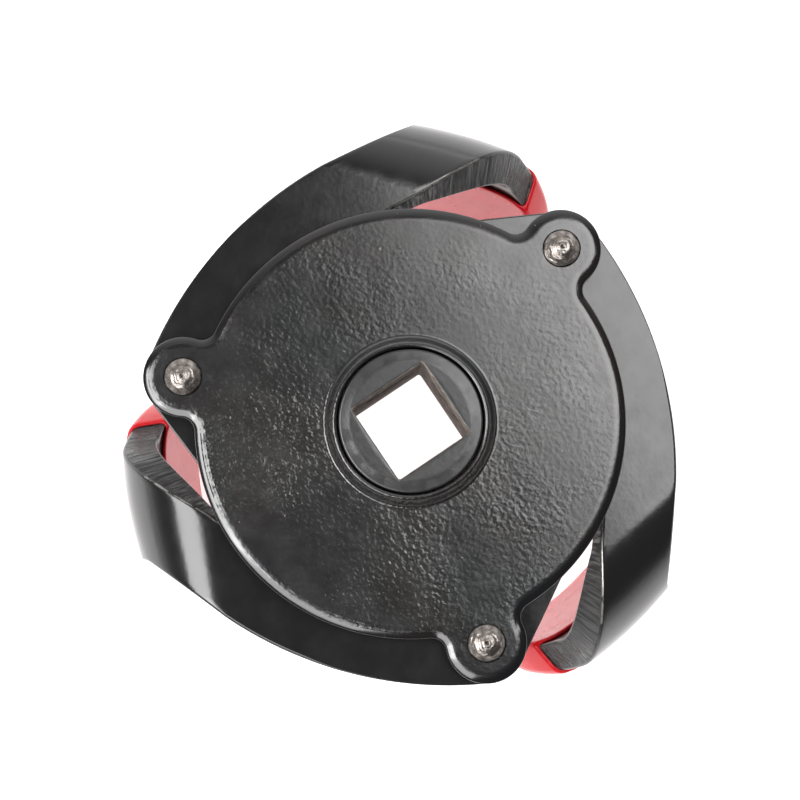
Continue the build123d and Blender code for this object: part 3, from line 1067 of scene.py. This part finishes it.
def build_jaws():
    """The three bent and toothed jaws."""
    verts, faces, painted, outline, depth = jaw_mesh()
    count = len(outline)
    along = [0.0]
    for before, point in zip(outline, outline[1:]):
        along.append(along[-1] + (point - before).length)
    for number in range(1, JAWS + 1):
        place = jaw_place(number)
        piece = make_piece(
            f"jaw_{number}_plate", [place @ v for v in verts], faces, JAW_PAINT,
            f"jaw_{number}", f"jaw_{number}",
        )
        for name, values in painted.items():
            paint_points(piece, name, values)
        layer = piece.data.uv_layers.new(name="edge")
        for loop in piece.data.loops:
            level, k = divmod(loop.vertex_index, count)
            if level < depth:
                layer.data[loop.index].uv = (along[k] + number, level * SHEET_T / depth)


# --- grips ---
def grip_ring(run, growth, t_inset=0.0):
    """Closed ring round the claw at a length of sheet, grown off its faces and edges."""
    trail, lead = sheet_edges(run)
    y = BEND_START + run
    trail -= growth
    lead += growth
    top, under = -growth + t_inset, SHEET_T + growth - t_inset
    r = min(0.0013, (under - top) / 2 * 0.98)
    across, down = lead - trail - 2 * r, under - top - 2 * r
    columns, steps = GRIP_COLUMNS, 5
    corner = [pi / 2 * k / steps for k in range(1, steps)]
    points = [(lead - r - across * k / columns, top) for k in range(columns + 1)]
    points += [(trail + r - r * sin(turn), top + r - r * cos(turn)) for turn in corner]
    points += [(trail, top + r + down * k / 2) for k in range(3)]
    points += [(trail + r - r * cos(turn), under - r + r * sin(turn)) for turn in corner]
    points += [(trail + r + across * k / columns, under) for k in range(columns + 1)]
    points += [(lead - r + r * sin(turn), under - r + r * cos(turn)) for turn in corner]
    points += [(lead, under - r - down * k / 2) for k in range(3)]
    points += [(lead - r + r * cos(turn), top + r - r * sin(turn)) for turn in corner]
    return [bent(x, y, t) for x, t in points]


def build_grips():
    """The dipped coats: a shell with a rolled lip, closed round the claw's foot."""
    start = BEND_RUN + DIP_DEPTH
    lip = 0.0005
    rings = [grip_ring(start + 0.004, 0.0), grip_ring(start, 0.0)]
    for k in range(1, 6):
        turn = pi * k / 6
        rings.append(grip_ring(start - lip * sin(turn), GRIP_T * (1 - cos(turn)) / 2))
    body = CLAW_DEPTH - DIP_DEPTH - CLAW_CORNER
    for k in range(18):
        rings.append(grip_ring(start + body * k / 17, GRIP_T))
    corner = BEND_RUN + CLAW_DEPTH - CLAW_CORNER
    for k in range(1, 11):
        rings.append(grip_ring(corner + CLAW_CORNER * sin(pi / 2 * k / 10), GRIP_T))
    foot = BEND_RUN + CLAW_DEPTH
    half = SHEET_T / 2 + GRIP_T
    for k in range(1, 9):
        turn = pi / 2 * k / 9
        rings.append(foot_ring(foot, turn, half * 0.85 * (1 - cos(turn))))
    count = len(rings[0])
    verts, faces = ring_solid(rings)
    faces = faces[: (len(rings) - 1) * count]
    faces += foot_cap((len(rings) - 1) * count, count)
    faces.append(tuple(reversed(range(count))))
    for number in range(1, JAWS + 1):
        place = jaw_place(number)
        make_piece(
            f"grip_{number}", [place @ v for v in verts], faces, GRIP_PVC,
            f"jaw_{number}", f"jaw_grip_{number}",
        )


def foot_ring(run, turn, squeeze):
    """Ring below the claw's foot, drawn in towards the sheet's middle."""
    growth = GRIP_T * cos(turn)
    ring = grip_ring(run, growth, squeeze - GRIP_T + growth)
    return [point - Vector((0, 0, GRIP_T * sin(turn))) for point in ring]


def foot_cap(start, count):
    """Faces that close the last ring: a strip between its two rows, and its two ends."""
    side = count // 2 - GRIP_COLUMNS - 1
    under = start + GRIP_COLUMNS + 1 + side
    far = under + GRIP_COLUMNS
    faces = [(start + k, start + k + 1, far - k - 1, far - k) for k in range(GRIP_COLUMNS)]
    faces.append(tuple(range(start + GRIP_COLUMNS, under + 1)))
    faces.append((*range(far, start + count), start))
    return faces


build_top_cover()
build_bottom_cover()
build_drive_gear()
for number, pivot in enumerate(PIVOTS, start=1):
    build_rivet(number, pivot)
    frame["nodes"][f"pivot_sleeve_{number}"].data.materials.clear()
    frame["nodes"][f"pivot_sleeve_{number}"].data.materials.append(SLEEVE_STEEL)
build_jaws()
build_grips()

# --- floor, light and camera ---
# The view's right and top, in the frame.
PICTURE_TURN = radians(-33.9)
RIGHT = Vector((cos(PICTURE_TURN), sin(PICTURE_TURN), 0))
UP = Vector((-sin(PICTURE_TURN), cos(PICTURE_TURN), 0))


def seen_at(right, up, height):
    """Place in the frame of a point given along the picture's right and top."""
    return RIGHT * right + UP * up + Vector((0, 0, height))


def facing_away(place, back, side):
    """World matrix of a lamp or a camera whose back and side point these ways."""
    turn = Matrix((side, back.cross(side), back)).transposed().to_4x4()
    return Matrix.Translation(place) @ turn


def build_floor():
    """Plain white table, evenly lit from below like a light table."""
    bpy.ops.mesh.primitive_plane_add(size=30, location=(0, 0, FLOOR - 0.0002))
    floor = bpy.context.object
    floor.name = "floor"
    material, _, shader = new_material("floor_white")
    shader.inputs["Base Color"].default_value = (0.8, 0.8, 0.8, 1)
    shader.inputs["Roughness"].default_value = 0.9
    shader.inputs["Specular IOR Level"].default_value = 0.1
    shader.inputs["Emission Color"].default_value = (1, 1, 1, 1)
    shader.inputs["Emission Strength"].default_value = 0.85
    floor.data.materials.append(material)


def add_softbox(name, off_vertical, azimuth, distance, size, radiance):
    """Soft light over the tool: degrees off the vertical, and round from the picture's right."""
    off, round_from = radians(off_vertical), radians(azimuth)
    place = seen_at(
        distance * sin(off) * cos(round_from), distance * sin(off) * sin(round_from),
        distance * cos(off),
    )
    data = bpy.data.lights.new(name, "AREA")
    data.shape = "RECTANGLE"
    data.size, data.size_y = size
    data.energy = radiance * pi * size[0] * size[1]
    lamp = bpy.data.objects.new(name, data)
    bpy.context.collection.objects.link(lamp)
    back = place.normalized()
    lamp.matrix_world = facing_away(place, back, Vector((0, 0, 1)).cross(back).normalized())


def build_world():
    """White at the horizon and towards the picture's top, like a studio backdrop."""
    world = bpy.data.worlds.new("studio")
    world.use_nodes = True
    tree = world.node_tree
    source = add_node(tree, "ShaderNodeTexCoord")
    parts = add_node(tree, "ShaderNodeSeparateXYZ")
    tree.links.new(source.outputs["Generated"], parts.inputs[0])
    sky = ramp(
        tree, parts.outputs["Z"], [(0.05, grey(1.0)), (0.16, grey(0.30)), (0.35, grey(0.03))]
    )
    towards = add_node(tree, "ShaderNodeVectorMath", operation="DOT_PRODUCT")
    tree.links.new(source.outputs["Generated"], towards.inputs[0])
    towards.inputs[1].default_value = UP
    wall = ramp(tree, towards.outputs["Value"], [(0.42, grey(0.0)), (0.92, grey(1.0))])
    both = add_node(tree, "ShaderNodeMix", data_type="RGBA", blend_type="ADD")
    both.inputs["Factor"].default_value = 1
    both.clamp_result = False
    tree.links.new(sky, both.inputs[6])
    tree.links.new(wall, both.inputs[7])
    tree.links.new(both.outputs[2], tree.nodes["Background"].inputs["Color"])
    bpy.context.scene.world = world


def build_lights():
    """Soft key just right of overhead, and softboxes from the picture's left to its foot."""
    add_softbox("key", 25, 32, 0.60, (0.34, 0.35), 5.2)
    add_softbox("left", 40, 188, 0.55, (0.40, 0.28), 8)
    add_softbox("low_left", 42, 234, 0.55, (0.36, 0.26), 4.5)
    build_world()


def build_camera():
    """Camera above the tool's lower left, looking at its middle."""
    place = seen_at(-0.0039, -0.0160, 0.240)
    target = seen_at(-0.0016, 0.0031, 0)
    span = 0.11985
    data = bpy.data.cameras.new("camera")
    data.sensor_width = 36
    data.lens = data.sensor_width * (place - target).length / span
    data.clip_start, data.clip_end = 0.01, 40
    camera = bpy.data.objects.new("camera", data)
    bpy.context.collection.objects.link(camera)
    back = (place - target).normalized()
    camera.matrix_world = facing_away(place, back, UP.cross(back).normalized())
    bpy.context.scene.camera = camera


build_floor()
build_lights()
build_camera()
bpy.context.scene.view_settings.view_transform = "Standard"
